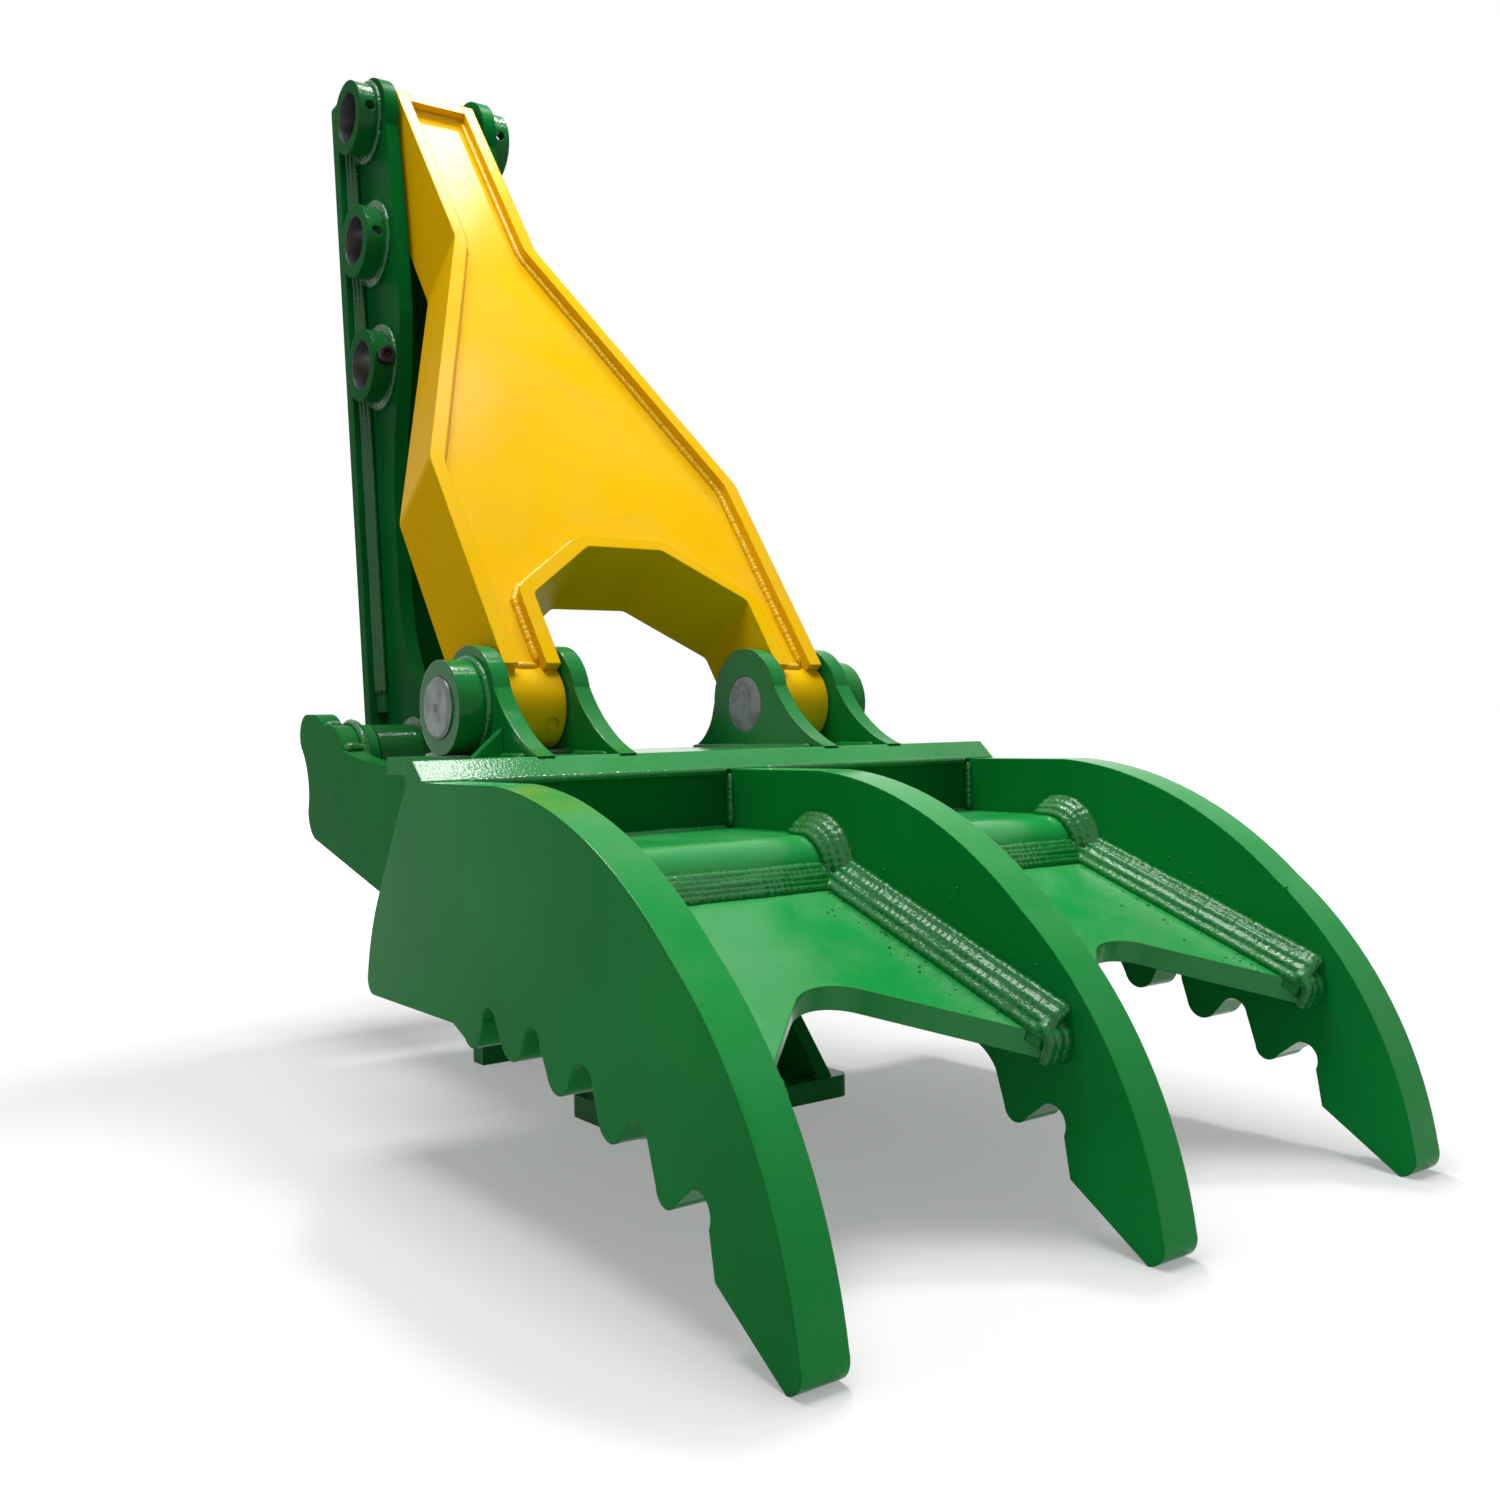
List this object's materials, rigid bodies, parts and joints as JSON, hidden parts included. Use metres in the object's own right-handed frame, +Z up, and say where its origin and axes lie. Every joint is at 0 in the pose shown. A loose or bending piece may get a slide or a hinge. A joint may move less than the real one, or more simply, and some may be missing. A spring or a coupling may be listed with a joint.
{
  "type": "mechanical excavator thumb",
  "caption": "Heavy three-tine mechanical excavator thumb on a weld-on base bracket, held at its set angle by a forked steel arm.",
  "frame": {"origin": "on the floor under the middle of the part's overall length and width", "axes": "+Z up from the floor on which the tine tips and the two stand feet rest, +X forward towards the tine tips, +Y to the left seen from behind"},
  "size_m": [1.29, 0.666, 1.2391],
  "materials": {
    "green_paint": "gloss",
    "yellow_paint": "gloss",
    "bare_steel": "machined",
    "plated_steel": "satin",
    "bush_steel": "machined"
  },
  "bodies": {
    "base_bracket": {"mount_plate": "green_paint", "rail_left": "green_paint", "rail_right": "green_paint", "rail_bosses_left": "green_paint", "rail_bosses_right": "green_paint", "rail_welds": "green_paint", "lock_bolt": "plated_steel", "base_barrel": "green_paint", "base_bushes": "bush_steel", "base_tie_plate": "green_paint"},
    "thumb": {"tine_left": "green_paint", "tine_centre": "green_paint", "tine_right": "green_paint", "deck_plate": "green_paint", "bay_front_plates": "green_paint", "shelf_left": "green_paint", "shelf_right": "green_paint", "web_left": "green_paint", "web_right": "green_paint", "web_welds": "green_paint", "box_bottom_plates": "green_paint", "box_post_plates": "green_paint", "box_rear_plates": "green_paint", "hinge_cheek_left": "green_paint", "hinge_cheek_right": "green_paint", "hinge_boss_left": "green_paint", "hinge_boss_right": "green_paint", "belly_plate": "green_paint", "pivot_pin": "green_paint", "pivot_pin_screws": "plated_steel", "inner_ear_left": "green_paint", "inner_ear_right": "green_paint", "outer_ear_left": "green_paint", "outer_ear_right": "green_paint", "ear_boss_left": "green_paint", "ear_boss_right": "green_paint", "ear_gussets": "green_paint", "ear_pin_left": "bare_steel", "ear_pin_right": "bare_steel", "ear_pin_screws": "plated_steel", "front_foot_pad": "green_paint", "front_foot_post": "green_paint", "front_foot_gussets": "green_paint", "rear_foot_plate": "green_paint", "rear_foot_gussets": "green_paint"},
    "arm": {"arm_front_plate": "yellow_paint", "arm_rear_plate": "yellow_paint", "arm_side_left": "yellow_paint", "arm_side_right": "yellow_paint", "arm_arch_plate": "yellow_paint", "arm_top_strip": "yellow_paint", "arm_eye": "yellow_paint", "arm_eye_bush": "bush_steel", "leg_barrels": "yellow_paint", "leg_bushes": "bush_steel"},
    "adjusting_pin_body": {"adjusting_pin": "bare_steel"}
  },
  "joints": [
    {"name": "thumb_pivot", "type": "hinge", "parent": "base_bracket", "child": "thumb", "pos_m": [-0.4707, 0, 0.3474], "axis": [0, 1, 0], "range_deg": [0, 22.8]},
    {"name": "arm_pivot", "type": "hinge", "parent": "thumb", "child": "arm", "pos_m": [-0.0154, 0, 0.405], "axis": [0, 1, 0], "range_deg": [-20.97, 0]},
    {"name": "adjusting_pin_slide", "type": "slide", "parent": "arm", "child": "adjusting_pin_body", "axis": [0, -1, 0], "range_m": [0, 0.18]}
  ],
  "couplings": [
    {"joint": "arm_pivot", "follows": "thumb_pivot", "ratio": -0.9197}
  ]
}
